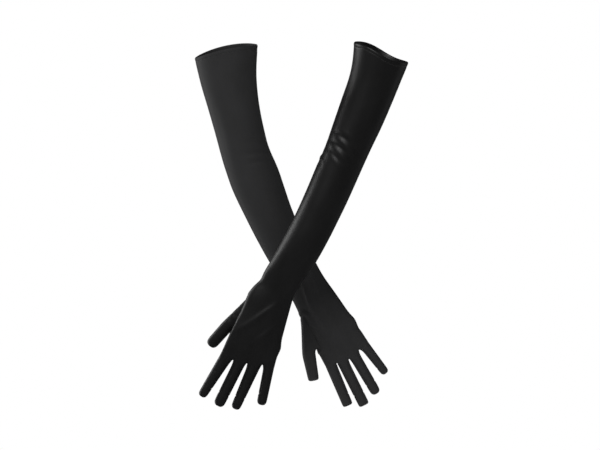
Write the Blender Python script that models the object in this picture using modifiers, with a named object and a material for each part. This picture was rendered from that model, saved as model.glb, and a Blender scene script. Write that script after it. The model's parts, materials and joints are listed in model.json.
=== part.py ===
"""A pair of over-elbow stretch-satin opera gloves, filled as when worn, hanging with the forearms crossed.

The origin is the middle of the right glove's arm opening. +X runs across the pair, +Y away from the
viewer and +Z up. Each glove lies in a plane y = constant, the left glove in front of the right. Cloth bends
anywhere, and a solid does not, so each glove is divided at the elbow, wrist, thumb and finger mouths, where
the empties stand.
"""

import math
from dataclasses import dataclass, field

import bpy
import numpy as np
from mathutils import Vector

MM = 0.001

# Cloth and sewing
FABRIC = 0.8 * MM
GAP = 0.3 * MM
HEM_DEPTH = 8.5 * MM
HEM_FOLD = 3.4 * MM
ELASTIC_THICKNESS = 1.2 * MM
ELASTIC_REACH = (2.2 * MM, 7.4 * MM)
STITCH_DEPTH = 6.0 * MM
THREAD_RADIUS = 0.25 * MM

# How far each stand-in joint turns, in degrees
ELBOW_FLEXION = 75
WRIST_BEND = 45
FINGER_FLEXION = 75
THUMB_FLEXION = 40

# Room left at the joints
FOLD_CLEARANCE = 2.0 * MM
FOLD_SPARE = 1.12
KNUCKLE_CLEARANCE = 1.5 * MM
MOUTH_CLEARANCE = 0.5 * MM
THUMB_CLEARANCE = 0.6 * MM
THUMB_BASE_LEAST = 1.5 * MM

# Places along the thumb, as shares of its length: its root lies inside the hand
THUMB_ROOT = -0.2
THUMB_HINGE = 0.47
THUMB_HOLE_END = 0.75
THUMB_CUTTER_ROWS = 6
SEARCH_STEP = 0.5 * MM

# Layout and resolution
PLANE_SPACING = 75 * MM
RIM_BACK_TILT = math.radians(5)
SLEEVE_COLUMNS = 24
SLEEVE_ROWS = 7
SEAM_INSET = 0.1
HAND_COLUMNS = 28
HAND_ROWS = 6
DIGIT_COLUMNS = 16
DIGIT_ROWS = 5
TIP_ANGLES = (30, 55, 75)
SLOT_CELLS = (-1, 0, 1)
SLOT_ROWS = 4
FOURCHETTE_COLUMNS = 5
DIGIT_DEPTH_SHARE = 0.88
ROUND = 2.0
HAND_SQUARENESS = 2.4
SAMPLES = 300

DEPTH_AXIS = Vector((0, 1, 0))


@dataclass(frozen=True)
class Digit:
    """A finger or thumb: the middle of its mouth and its tip as (x, depth towards the palm, z) in mm."""

    name: str
    mouth: tuple
    tip: tuple
    mouth_width: float
    tip_width: float
    squareness: float
    fourchette_sides: tuple = ()


@dataclass(frozen=True)
class Glove:
    """One glove. Each station is (x, z, width, depth) in mm, and palm is the sign of Y that the palm faces.

    The forearm starts at the elbow, and the hand starts at the wrist.
    """

    side: str
    plane: float
    palm: int
    rim_tilt: float
    upper: tuple
    elbow: tuple
    forearm: tuple
    wrist: tuple
    hand: tuple
    thumb: Digit
    fingers: tuple = field(default_factory=tuple)


RIGHT = Glove(
    side="right",
    plane=0.0,
    palm=-1,
    rim_tilt=math.radians(-8),
    upper=((0, 0, 96, 82), (2, -29, 88, 76), (13.5, -89, 75, 66)),
    elbow=(31.5, -157, 73, 63),
    forearm=((46, -197, 76, 65), (60, -233, 70, 61), (101, -317, 61, 52)),
    wrist=(120, -350, 56, 40),
    hand=((137, -379, 63, 34), (150, -403, 69, 31), (162, -425, 74, 29), (182, -459, 77, 19)),
    thumb=Digit("thumb", (116, 4, -408), (132.5, 15, -495), 25, 16, 2.6),
    fingers=(
        Digit("index", (157, 0, -469), (184, 0, -533), 17.0, 15.5, 2.8, (1,)),
        Digit("middle", (176, 0, -467), (208.5, 0, -532.5), 17.0, 16.0, 2.8, (-1, 1)),
        Digit("ring", (193, 0, -457), (227, 0, -515), 16.5, 15.0, 2.4, (-1, 1)),
        Digit("little", (206, 0, -439), (241, 0, -484.5), 15.5, 12.5, 2.2, (-1,)),
    ),
)

LEFT = Glove(
    side="left",
    plane=-PLANE_SPACING,
    palm=1,
    rim_tilt=math.radians(7),
    upper=((234, -4, 87, 90), (228, -29, 77, 82), (206, -89, 71.5, 74)),
    elbow=(180, -152, 64.5, 68),
    forearm=((161, -197, 63.5, 68), (145, -233, 61.5, 66), (101, -317, 59.5, 56)),
    wrist=(77, -353, 56, 40),
    hand=((66, -379, 65, 34), (56, -403, 70, 31), (48, -425, 75, 29), (33, -467, 82, 19)),
    thumb=Digit("thumb", (36, 4, -376), (-23, 16, -442), 20, 17.5, 2.2),
    fingers=(
        Digit("index", (1, 0, -458), (-34, 0, -517.5), 17.5, 16, 2.2, (1,)),
        Digit("middle", (23, 0, -464), (-10.5, 0, -531), 17.5, 16.5, 2.2, (-1, 1)),
        Digit("ring", (43.5, 0, -469), (16, 0, -536), 17.5, 16.5, 2.2, (-1, 1)),
        Digit("little", (67, 0, -466), (54, 0, -529.5), 16, 14.5, 2.2, (-1,)),
    ),
)


def smooth_between(at, places, values):
    """The cubic curve through the values, read at one place."""
    slopes = np.gradient(values, places, axis=0)
    last = len(places) - 2
    i = int(np.clip(np.searchsorted(places, at) - 1, 0, last))
    span = places[i + 1] - places[i]
    u = (at - places[i]) / span
    if u < 0 or u > 1:
        end = i if u < 0 else i + 1
        return values[end] + slopes[end] * (at - places[end])
    return (
        values[i] * (2 * u**3 - 3 * u**2 + 1)
        + slopes[i] * span * (u**3 - 2 * u**2 + u)
        + values[i + 1] * (3 * u**2 - 2 * u**3)
        + slopes[i + 1] * span * (u**3 - u**2)
    )


class Tube:
    """A skin swept along stations: s is the distance along it, and an angle of 0 faces +X, 90 away."""

    def __init__(self, centres, widths, depths, squareness):
        self.centres = np.array(centres) * MM
        self.sizes = np.array([widths, depths]).T * MM
        steps = np.linalg.norm(np.diff(self.centres, axis=0), axis=1)
        self.places = np.concatenate([[0], np.cumsum(steps)])
        self.length = float(self.places[-1])
        self.squareness = np.array(squareness)
        self.samples = np.linspace(0, self.length, SAMPLES)
        self.sampled = np.array([self.centre(s) for s in self.samples])

    def centre(self, s):
        return Vector(smooth_between(s, self.places, self.centres))

    def frame(self, s):
        """Along, across and depth directions."""
        step = 0.5 * MM
        along = (self.centre(s + step) - self.centre(s - step)).normalized()
        across = along.cross(DEPTH_AXIS).normalized()
        return along, across, across.cross(along)

    def size(self, s):
        return smooth_between(s, self.places, self.sizes)

    def square(self, s):
        return float(np.interp(s, self.places, self.squareness))

    def offsets(self, s, angle, inset=0.0, scale=1.0):
        """How far the skin is from the middle, across and in depth."""
        power = 2 / self.square(s)
        width, depth = (self.size(s) / 2 - inset) * scale
        c, d = math.cos(angle), math.sin(angle)
        return width * math.copysign(abs(c) ** power, c), depth * math.copysign(abs(d) ** power, d)

    def point(self, s, angle, inset=0.0, scale=1.0):
        _, across, deep = self.frame(s)
        x, y = self.offsets(s, angle, inset, scale)
        return self.centre(s) + across * x + deep * y

    def holds(self, point, margin):
        """Whether the point is inside the skin grown by a margin."""
        s = self.samples[np.linalg.norm(self.sampled - np.array(point), axis=1).argmin()]
        _, across, deep = self.frame(s)
        reach = point - self.centre(s)
        width, depth = self.size(s) / 2 + margin
        power = self.square(s)
        return abs(reach.dot(across) / width) ** power + abs(reach.dot(deep) / depth) ** power < 1


def limb_tube(glove):
    """The whole skin from the rim to the finger mouths, with where the elbow and the wrist are along it."""
    stations = (*glove.upper, glove.elbow, *glove.forearm, glove.wrist, *glove.hand)
    elbow = len(glove.upper)
    wrist = elbow + 1 + len(glove.forearm)
    centres = [(x, glove.plane / MM, z) for x, z, _, _ in stations]
    squareness = [ROUND] * (wrist + 1) + [HAND_SQUARENESS] * len(glove.hand)
    limb = Tube(centres, [s[2] for s in stations], [s[3] for s in stations], squareness)
    return limb, limb.places[elbow], limb.places[wrist]


def digit_tube(digit, glove):
    ends = [(x, glove.plane / MM + glove.palm * y, z) for x, y, z in (digit.mouth, digit.tip)]
    widths = [digit.mouth_width, digit.tip_width]
    return Tube(ends, widths, [w * DIGIT_DEPTH_SHARE for w in widths], [ROUND, ROUND])


def ring_angles(count, shift=0.0):
    return [2 * math.pi * (j + shift) / count for j in range(count)]


def mitre(tube, s, angle, towards, bend, both_ways=False):
    """How far the skin stops short of a fold, so that its two sides only meet at the joint's limit."""
    reach = (tube.point(s, angle) - tube.centre(s)).dot(towards)
    reach = abs(reach) if both_ways else max(reach, 0)
    return FOLD_CLEARANCE + FOLD_SPARE * reach * math.tan(math.radians(bend) / 2)


def grid_faces(rows, columns, closed=True, missing=()):
    """Quads between rows of a grid, wound to face out, with the (row, column) cells in missing left open."""
    faces = []
    for i in range(rows - 1):
        for j in range(columns if closed else columns - 1):
            if (i, j) in missing:
                continue
            near, far, beside = i * columns, (i + 1) * columns, (j + 1) % columns
            faces.append((near + j, far + j, far + beside, near + beside))
    return faces


def new_object(name, data, joint, material, collection):
    """The object stands at its joint's empty, so its data is stored from there."""
    obj = bpy.data.objects.new(name, data)
    collection.objects.link(obj)
    obj.parent = joint
    data.materials.append(material)
    return obj


def skin(name, points, faces, joint, material, collection, thickness=FABRIC):
    """A cloth shell: the outer surface, thickened inwards."""
    origin = joint.matrix_world.translation
    mesh = bpy.data.meshes.new(name)
    mesh.from_pydata([p - origin for p in points], [], faces)
    mesh.shade_smooth()
    obj = new_object(name, mesh, joint, material, collection)
    if thickness:
        thicken = obj.modifiers.new("cloth", "SOLIDIFY")
        thicken.thickness = thickness
        thicken.offset = -1
        thicken.use_even_offset = True
    return obj


def thread(name, points, joint, material, collection, cyclic=False):
    """A line of stitches as one thin cord."""
    origin = joint.matrix_world.translation
    curve = bpy.data.curves.new(name, "CURVE")
    curve.dimensions = "3D"
    curve.bevel_depth = THREAD_RADIUS
    curve.bevel_resolution = 1
    curve.use_fill_caps = True
    spline = curve.splines.new("POLY")
    spline.points.add(len(points) - 1)
    for place, point in zip(spline.points, points):
        place.co = (*(point - origin), 1)
    spline.use_cyclic_u = cyclic
    return new_object(name, curve, joint, material, collection)


def joint_empty(name, position, parent, collection):
    empty = bpy.data.objects.new(name, None)
    collection.objects.link(empty)
    empty.empty_display_size = 0.02
    empty.parent = parent
    empty.location = position - parent.matrix_world.translation if parent else position
    bpy.context.view_layer.update()
    return empty


def satin(name, shade, roughness):
    material = bpy.data.materials.new(name)
    material.use_nodes = True
    shader = material.node_tree.nodes["Principled BSDF"]
    shader.inputs["Base Color"].default_value = (shade, shade, shade * 1.05, 1)
    shader.inputs["Roughness"].default_value = roughness
    shader.inputs["Metallic"].default_value = 0.0
    shader.inputs["Sheen Weight"].default_value = 0.2
    return material


class GloveBuilder:
    """Makes the pieces of one glove."""

    def __init__(self, glove, collection, cutters, materials):
        self.glove = glove
        self.collection = collection
        self.cutters = cutters
        self.satin, self.lining, self.cotton = materials
        self.limb, self.elbow, self.wrist = limb_tube(glove)
        self.thumb = digit_tube(glove.thumb, glove)

    def name(self, piece):
        return f"{self.glove.side}_{piece}"

    def build(self, root):
        rim, elbow, wrist = (self.limb.centre(s) for s in (0, self.elbow, self.wrist))
        self.rim_joint = joint_empty(self.name("rim"), rim, root, self.collection)
        self.elbow_joint = joint_empty(self.name("elbow"), elbow, self.rim_joint, self.collection)
        self.wrist_joint = joint_empty(self.name("wrist"), wrist, self.elbow_joint, self.collection)
        self.upper_sleeve()
        self.forearm_sleeve()
        self.hand_piece()
        self.thumb_pieces()
        for digit in self.glove.fingers:
            self.finger(digit)
        return self.rim_joint

    def rim_start(self, angle):
        """The rim's plane is tilted, and its far side stands higher."""
        across, deep = self.limb.offsets(0, angle)
        return across * math.tan(self.glove.rim_tilt) - deep * math.tan(RIM_BACK_TILT)

    def elbow_gap(self, angle):
        crease_side = self.limb.frame(self.elbow)[1] * -self.glove.palm
        return mitre(self.limb, self.elbow, angle, crease_side, ELBOW_FLEXION)

    def wrist_gap(self, angle):
        return mitre(self.limb, self.wrist, angle, DEPTH_AXIS, WRIST_BEND, both_ways=True)

    def knuckle_end(self, angle):
        """The hand's far edge follows the mouths of the fingers."""
        end = self.limb.length
        along, across, _ = self.limb.frame(end)
        middle = self.limb.centre(end)
        fingers = self.glove.fingers
        mouths = [Vector((d.mouth[0] * MM, self.glove.plane, d.mouth[2] * MM)) - middle for d in fingers]
        line = np.array(sorted((m.dot(across), m.dot(along)) for m in mouths))
        line = np.vstack([2 * line[0] - line[1], line, 2 * line[-1] - line[-2]])
        offset = np.interp(self.limb.offsets(end, angle)[0], line[:, 0], line[:, 1])
        return end + float(offset) - KNUCKLE_CLEARANCE

    def stretch(self, columns, rows, start, end):
        """The skin's points from start to end, which differ from column to column."""
        angles = ring_angles(columns)
        ends = [(start(a), end(a)) for a in angles]
        return [
            self.limb.point(first + share * (last - first), a)
            for share in np.linspace(0, 1, rows)
            for a, (first, last) in zip(angles, ends)
        ]

    def side_seam(self, piece, start, end, rows, joint):
        """The long seam up the little-finger side, just inside the cloth, which bends where its rows do."""
        inset = FABRIC + GAP + THREAD_RADIUS
        points = [self.limb.point(s, 0, inset) for s in np.linspace(start, end, rows)]
        points[0] = points[0].lerp(points[1], SEAM_INSET)
        points[-1] = points[-1].lerp(points[-2], SEAM_INSET)
        thread(self.name(piece), points, joint, self.cotton, self.collection)

    def upper_sleeve(self):
        angles = ring_angles(SLEEVE_COLUMNS)
        turned_in = [(s, HEM_FOLD) for s in (HEM_DEPTH, HEM_DEPTH / 2, FABRIC)]
        hem = (*turned_in, (0, HEM_FOLD / 2), (FABRIC, 0))
        points = [self.limb.point(self.rim_start(a) + s, a, inset) for s, inset in hem for a in angles]
        points += self.stretch(
            SLEEVE_COLUMNS,
            SLEEVE_ROWS,
            lambda a: self.rim_start(a) + HEM_DEPTH,
            lambda a: self.elbow - self.elbow_gap(a),
        )
        faces = grid_faces(len(hem) + SLEEVE_ROWS, SLEEVE_COLUMNS)
        skin(self.name("upper_sleeve"), points, faces, self.rim_joint, self.satin, self.collection)
        self.hem_pieces(angles)
        start, end = self.rim_start(0) + HEM_DEPTH, self.elbow - self.elbow_gap(0)
        self.side_seam("side_seam_upper", start, end, SLEEVE_ROWS, self.rim_joint)

    def hem_pieces(self, angles):
        tape = [
            self.limb.point(self.rim_start(a) + s, a, FABRIC + GAP)
            for s in np.linspace(*ELASTIC_REACH, 3)
            for a in angles
        ]
        faces = grid_faces(3, SLEEVE_COLUMNS)
        name = self.name("hem_elastic")
        skin(name, tape, faces, self.rim_joint, self.lining, self.collection, ELASTIC_THICKNESS)
        outside = -GAP - THREAD_RADIUS
        stitches = [self.limb.point(self.rim_start(a) + STITCH_DEPTH, a, outside) for a in angles]
        thread(self.name("hem_thread"), stitches, self.rim_joint, self.cotton, self.collection, cyclic=True)

    def forearm_sleeve(self):
        points = self.stretch(
            SLEEVE_COLUMNS,
            SLEEVE_ROWS,
            lambda a: self.elbow + self.elbow_gap(a),
            lambda a: self.wrist - self.wrist_gap(a),
        )
        faces = grid_faces(SLEEVE_ROWS, SLEEVE_COLUMNS)
        skin(self.name("forearm_sleeve"), points, faces, self.elbow_joint, self.satin, self.collection)
        start, end = self.elbow + self.elbow_gap(0), self.wrist - self.wrist_gap(0)
        self.side_seam("side_seam_forearm", start, end, SLEEVE_ROWS, self.elbow_joint)

    def hand_piece(self):
        points = self.stretch(
            HAND_COLUMNS, HAND_ROWS, lambda a: self.wrist + self.wrist_gap(a), self.knuckle_end
        )
        faces = grid_faces(HAND_ROWS, HAND_COLUMNS)
        hand = skin(self.name("hand"), points, faces, self.wrist_joint, self.satin, self.collection)
        thumb_hole = hand.modifiers.new("thumb_hole", "BOOLEAN")
        thumb_hole.operation = "DIFFERENCE"
        thumb_hole.solver = "EXACT"
        thumb_hole.object = self.thumb_cutter()
        start, end = self.wrist + self.wrist_gap(0), self.knuckle_end(0)
        self.side_seam("side_seam_hand", start, end, HAND_ROWS, self.wrist_joint)

    def thumb_cutter(self):
        """The thumb's own outer shape, a little larger and closed, which opens the hand for it."""
        angles = ring_angles(DIGIT_COLUMNS)
        places = np.linspace(THUMB_ROOT, THUMB_HOLE_END, THUMB_CUTTER_ROWS) * self.thumb.length
        points = [self.thumb.point(s, a, -GAP) for s in places for a in angles]
        faces = grid_faces(len(places), DIGIT_COLUMNS)
        last = (len(places) - 1) * DIGIT_COLUMNS
        faces.append(tuple(range(DIGIT_COLUMNS)))
        faces.append(tuple(last + j for j in reversed(range(DIGIT_COLUMNS))))
        cutter = skin(
            self.name("thumb_cutter"), points, faces, self.wrist_joint, self.satin, self.cutters, thickness=0
        )
        cutter.hide_render = True
        cutter.display_type = "WIRE"
        return cutter

    def thumb_start(self, angle):
        """Where this line of the thumb comes out of the hand, or None where it never goes in."""
        steps = np.arange(THUMB_ROOT * self.thumb.length, THUMB_HOLE_END * self.thumb.length, SEARCH_STEP)
        inside = [s for s in steps if self.limb.holds(self.thumb.point(s, angle), THUMB_CLEARANCE)]
        return max(inside, default=None)

    def thumb_pieces(self):
        """The thumb is one cut piece, sewn into the hand, which bends where it comes clear of the palm."""
        angles = ring_angles(DIGIT_COLUMNS)
        exits = [self.thumb_start(a) for a in angles]
        first = min(s for s in exits if s is not None)
        exits = [first if s is None else s + GAP for s in exits]
        hinge = THUMB_HINGE * self.thumb.length
        base_ends = [max(hinge - MOUTH_CLEARANCE, s + THUMB_BASE_LEAST) for s in exits]
        rows = [
            self.thumb.point(start + share * (end - start), a)
            for share in np.linspace(0, 1, DIGIT_ROWS)
            for start, end, a in zip(exits, base_ends, angles)
        ]
        faces = grid_faces(DIGIT_ROWS, DIGIT_COLUMNS)
        skin(self.name("thumb_base"), rows, faces, self.wrist_joint, self.satin, self.collection)

        _, _, deep = self.thumb.frame(hinge)
        crease = self.thumb.centre(hinge) + deep * self.glove.palm * self.thumb.size(hinge)[1] / 2
        joint = joint_empty(self.name("thumb_joint"), crease, self.wrist_joint, self.collection)
        starts = [max(hinge, end) + MOUTH_CLEARANCE for end in base_ends]
        self.digit_shell("thumb", self.thumb, starts, angles, self.glove.thumb.squareness, joint, ())
        inset = FABRIC + GAP + THREAD_RADIUS
        stitches = [
            self.thumb.point(start + SEAM_INSET * (end - start), a, inset)
            for start, end, a in zip(exits, base_ends, angles)
        ]
        thread(self.name("thumb_seam"), stitches, self.wrist_joint, self.cotton, self.collection, cyclic=True)

    def digit_shell(self, piece, tube, starts, angles, squareness, joint, missing):
        """A stall from its mouth to its rounded tip, with the cells in missing left open."""
        round_from = tube.length - tube.size(tube.length)[0] / 2
        points = [
            tube.point(start + share * (round_from - start), a)
            for share in np.linspace(0, 1, DIGIT_ROWS + 1)
            for start, a in zip(starts, angles)
        ]
        power = 2 / squareness
        for tip_angle in map(math.radians, TIP_ANGLES):
            s = round_from + (tube.length - round_from) * math.sin(tip_angle) ** power
            points += [tube.point(s, a, scale=math.cos(tip_angle) ** power) for a in angles]
        rows = DIGIT_ROWS + 1 + len(TIP_ANGLES)
        faces = grid_faces(rows, len(angles), missing=missing)
        last = (rows - 1) * len(angles)
        faces.append(tuple(last + j for j in reversed(range(len(angles)))))
        return skin(self.name(piece), points, faces, joint, self.satin, self.collection)

    def mouth_slant(self, digit, tube):
        """How the line of the finger mouths crosses this finger: along over across."""
        fingers = self.glove.fingers
        i = fingers.index(digit)
        before, after = fingers[max(i - 1, 0)].mouth, fingers[min(i + 1, len(fingers) - 1)].mouth
        line = Vector((after[0] - before[0], 0, after[2] - before[2]))
        along, across, _ = tube.frame(0)
        return line.dot(along) / line.dot(across)

    def finger(self, digit):
        tube = digit_tube(digit, self.glove)
        slant = self.mouth_slant(digit, tube)
        angles = ring_angles(DIGIT_COLUMNS, 0.5)
        starts = [MOUTH_CLEARANCE + slant * tube.offsets(0, a)[0] for a in angles]
        _, _, deep = tube.frame(0)
        crease = tube.centre(0) + deep * self.glove.palm * tube.size(0)[1] / 2
        joint = joint_empty(self.name(f"{digit.name}_joint"), crease, self.wrist_joint, self.collection)

        missing = set()
        for side in digit.fourchette_sides:
            facing = -1 if side > 0 else DIGIT_COLUMNS // 2 - 1
            columns = [(facing + cell) % DIGIT_COLUMNS for cell in SLOT_CELLS]
            missing |= {(i, j) for i in range(SLOT_ROWS) for j in columns}
        self.digit_shell(f"{digit.name}_finger", tube, starts, angles, digit.squareness, joint, missing)
        for side in digit.fourchette_sides:
            self.fourchette(digit, tube, slant, side, joint)

    def fourchette(self, digit, tube, slant, side, joint):
        """The side strip of one finger, which fills the slot in its stall with a gap all round."""
        neighbour = "inner" if side < 0 else "outer"
        step = 2 * math.pi / DIGIT_COLUMNS
        edge = len(SLOT_CELLS) / 2 * step - 2 * GAP / (tube.size(0)[0] / 2)
        middle = 0 if side > 0 else math.pi
        angles = [middle + share * edge for share in np.linspace(-1, 1, FOURCHETTE_COLUMNS)]
        round_from = tube.length - tube.size(tube.length)[0] / 2
        points = []
        for share in np.linspace(0, 1, SLOT_ROWS + 1):
            for a in angles:
                start = MOUTH_CLEARANCE + slant * tube.offsets(0, a)[0]
                end = start + (round_from - start) * SLOT_ROWS / DIGIT_ROWS - 2 * GAP
                points.append(tube.point(start + share * (end - start), a))
        faces = grid_faces(SLOT_ROWS + 1, len(angles), closed=False)
        name = self.name(f"{digit.name}_fourchette_{neighbour}")
        skin(name, points, faces, joint, self.lining, self.collection)


def main():
    for obj in list(bpy.data.objects):
        bpy.data.objects.remove(obj)
    collection = bpy.data.collections.new("opera_gloves")
    cutters = bpy.data.collections.new("cutters")
    for group in (collection, cutters):
        bpy.context.scene.collection.children.link(group)
    materials = (
        satin("black_satin", 0.012, 0.42),
        satin("black_jersey", 0.010, 0.60),
        satin("black_thread", 0.016, 0.55),
    )
    right_rim = GloveBuilder(RIGHT, collection, cutters, materials).build(None)
    GloveBuilder(LEFT, collection, cutters, materials).build(right_rim)


main()
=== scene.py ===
import json
import math
from dataclasses import dataclass

import bmesh
import bpy
import numpy as np
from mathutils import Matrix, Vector
from mathutils.bvhtree import BVHTree


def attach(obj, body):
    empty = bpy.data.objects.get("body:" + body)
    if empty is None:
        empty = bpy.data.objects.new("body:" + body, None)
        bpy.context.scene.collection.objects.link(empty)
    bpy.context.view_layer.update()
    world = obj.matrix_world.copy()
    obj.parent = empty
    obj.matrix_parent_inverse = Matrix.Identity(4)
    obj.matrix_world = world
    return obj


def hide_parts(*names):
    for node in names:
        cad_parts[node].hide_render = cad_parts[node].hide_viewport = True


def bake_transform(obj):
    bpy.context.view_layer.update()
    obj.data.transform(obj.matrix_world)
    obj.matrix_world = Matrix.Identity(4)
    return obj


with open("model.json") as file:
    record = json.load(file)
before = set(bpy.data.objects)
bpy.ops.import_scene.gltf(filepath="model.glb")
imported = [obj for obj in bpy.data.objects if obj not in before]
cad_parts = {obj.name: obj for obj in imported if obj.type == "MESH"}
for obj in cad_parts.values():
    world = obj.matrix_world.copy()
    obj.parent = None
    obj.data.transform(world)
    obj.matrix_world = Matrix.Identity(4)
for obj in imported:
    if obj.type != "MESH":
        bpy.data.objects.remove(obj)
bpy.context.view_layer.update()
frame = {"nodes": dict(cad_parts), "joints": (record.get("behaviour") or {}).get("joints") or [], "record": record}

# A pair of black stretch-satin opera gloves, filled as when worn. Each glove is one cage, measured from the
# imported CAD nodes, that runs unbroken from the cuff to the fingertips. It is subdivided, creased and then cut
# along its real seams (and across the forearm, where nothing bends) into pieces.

MM = 0.001
RECORD = frame["record"]
JOINTS = {j["name"]: j for j in frame["joints"]}
BODIES = RECORD["behaviour"]["bodies"]
MOUNTS = {m["name"]: m for m in RECORD["mounts"]}
SIDES = ("right", "left")
FINGERS = ("index", "middle", "ring", "little")
AWAY = np.array([0.0, 1.0, 0.0])

# Cloth
CLOTH = 0.8 * MM
STRETCH = 0.04
HEM_DEPTH = 8.5 * MM
HEM_THICKNESS = 3.2 * MM
STITCH_DEPTH = 6.0 * MM
STITCH_PITCH = 3.0 * MM
STITCH_LENGTH = 2.2 * MM
THREAD_RADIUS = 0.28 * MM
STITCH_LIFT = 0.1 * MM
STITCH_DIP = 0.35 * MM
STITCH_SIDES = 5
STITCH_SHARES = (-1, -0.8, -0.3, 0.3, 0.8, 1)
ELASTIC_THICKNESS = 1.0 * MM
ELASTIC_EDGES = (2.4 * MM, 6.8 * MM)
WELT_RADIUS = 0.5 * MM
WELT_FLATTENING = 0.6
WELT_SIDES = 6
WELT_STEP = 2.5 * MM
SIDE_SEAM_END = 8 * MM  # how far before the knuckles the side seam stops
CUFF_COLUMNS = 72

# How far each bend reaches either side of its joint, or along a digit
ELBOW_REACH = 52 * MM
WRIST_REACH = 32 * MM
DIGIT_REACH = 26 * MM
DIGIT_BEND_START = 0.5 * MM

# Measuring
SAMPLE_STEP = 3 * MM
SMOOTHING = 9 * MM
SPINE_SMOOTHING = 1.5 * SMOOTHING
DEPTH_SMOOTHING = 2 * SMOOTHING
RUN_ON = 40 * MM
END_SAMPLES = 4
ROUNDED_SAMPLES = 2
BESIDE = 1.5 * MM
RIM_BESIDE = 2 * MM
DIGIT_CUTS = (0.35, 0.7)
LIMB_SQUARENESS = 2.0
HAND_SQUARENESS = 2.35
CHUNK = 4096

# Cage: an angle of 0 faces the thumb side, and 90 the back of the hand
COLUMNS = 20
DIGIT_COLUMNS = 8
LEVELS = 3
ROWS_ABOVE_ELBOW = 5
ROWS_AT_ELBOW = 13
ROWS_BELOW_ELBOW = 8
THUMB_HOLE_LIMIT = 0.86  # the thumb hole ends by this share of the way to the knuckles
WEB_DEPTH = 0.86
KNUCKLE_DEPTH = 1.12
FIRST_RING = 5 * MM
FINGER_ROWS = 5
THUMB_ROWS = 5

# Surface
SEAM_GROOVE = 0.35 * MM
SEAM_WIDTH = 1.0 * MM
HEM_GROOVE_WIDTH = 0.9 * MM
THUMB_GROOVE = 0.9 * MM
THUMB_GROOVE_WIDTH = 1.6 * MM
THUMB_PUFF = 1.3 * MM
PUFF_AT = 5.5 * MM
PUFF_WIDTH = 3.2 * MM
HOLLOW_AT = 2.2 * PUFF_AT
HOLLOW_SHARE = 0.5
PALM_FADE = 0.4
CREASE_SHOULDER = 0.3
UNEVEN = 0.22 * MM
SMOOTH_CUFF = 20 * MM
SMOOTH_KNUCKLES = (-10 * MM, 15 * MM)  # from the knuckles: where the folds start to fade, and where they end
LIMB_UV_RADIUS = 33 * MM
DIGIT_UV_RADIUS = 8.5 * MM


@dataclass(frozen=True)
class Rim:
    """How a cuff's edge differs from flat. The arch and the wave go from side to side."""

    slope: float
    arch: float
    wave: float


RIMS = {"right": Rim(-0.1, 6.0 * MM, 0.0), "left": Rim(-0.11, 0.0, 3.4 * MM)}


def unit(vectors):
    return vectors / np.maximum(np.linalg.norm(vectors, axis=-1, keepdims=True), 1e-12)


def smooth_step(x):
    x = np.clip(x, 0, 1)
    return x * x * (3 - 2 * x)


def bell(x):
    return np.exp(-x * x)


def full_turn(count):
    return [2 * math.pi * j / count for j in range(count)]


def nearest(points, marks):
    """The number of the mark nearest to each point, and how far away it is."""
    index, away = np.empty(len(points), int), np.empty(len(points))
    for i in range(0, len(points), CHUNK):
        gaps = np.linalg.norm(points[i : i + CHUNK, None] - marks[None], axis=2)
        index[i : i + CHUNK], away[i : i + CHUNK] = gaps.argmin(axis=1), gaps.min(axis=1)
    return index, away


def window(x, reach, fade):
    """1 inside the reach, fading to 0 at its ends."""
    return smooth_step((reach - np.abs(x)) / (reach * fade))


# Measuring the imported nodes


def table_of(items, name, width, kind):
    """One property of every item of a mesh, in a row each."""
    values = np.empty(len(items) * width, kind)
    items.foreach_get(name, values)
    return values.reshape(-1, width)


def mesh_arrays(nodes):
    """The points and edges of these CAD nodes together."""
    points, edges, count = [], [], 0
    for node in nodes:
        mesh = frame["nodes"][node].data
        points.append(table_of(mesh.vertices, "co", 3, np.float32).astype(float))
        edges.append(table_of(mesh.edges, "vertices", 2, np.int32) + count)
        count += len(mesh.vertices)
    return np.vstack(points), np.vstack(edges)


def section(shape, centre, along):
    """The points where a plane cuts the shape's edges."""
    points, edges = shape
    height = (points - centre) @ along
    first, last = edges.T
    cut = height[first] * height[last] < 0
    first, last = first[cut], last[cut]
    share = height[first] / (height[first] - height[last])
    return points[first] + share[:, None] * (points[last] - points[first])


def run_on(places, known, values):
    """The known values read at every place, carried on in a straight line past both ends."""
    read = np.interp(places, known, values)
    few = min(END_SAMPLES, len(known) // 2)
    for end, near, away in (
        (0, slice(0, few), places < known[0]),
        (-1, slice(-few, None), places > known[-1]),
    ):
        slope = np.polyfit(known[near], values[near], 1)[0]
        read[away] = values[end] + slope * (places[away] - known[end])
    return read


def smoothed(values, step, spread):
    """Evenly spaced values after a bell-shaped average, carried on straight past the ends."""
    reach = int(3 * spread / step)
    weights = bell(np.arange(-reach, reach + 1) * step / (spread * math.sqrt(2)))
    before = 2 * values[0] - values[reach:0:-1]
    after = 2 * values[-1] - values[-2 : -reach - 2 : -1]
    return np.convolve(np.concatenate([before, values, after]), weights / weights.sum(), "valid")


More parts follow.
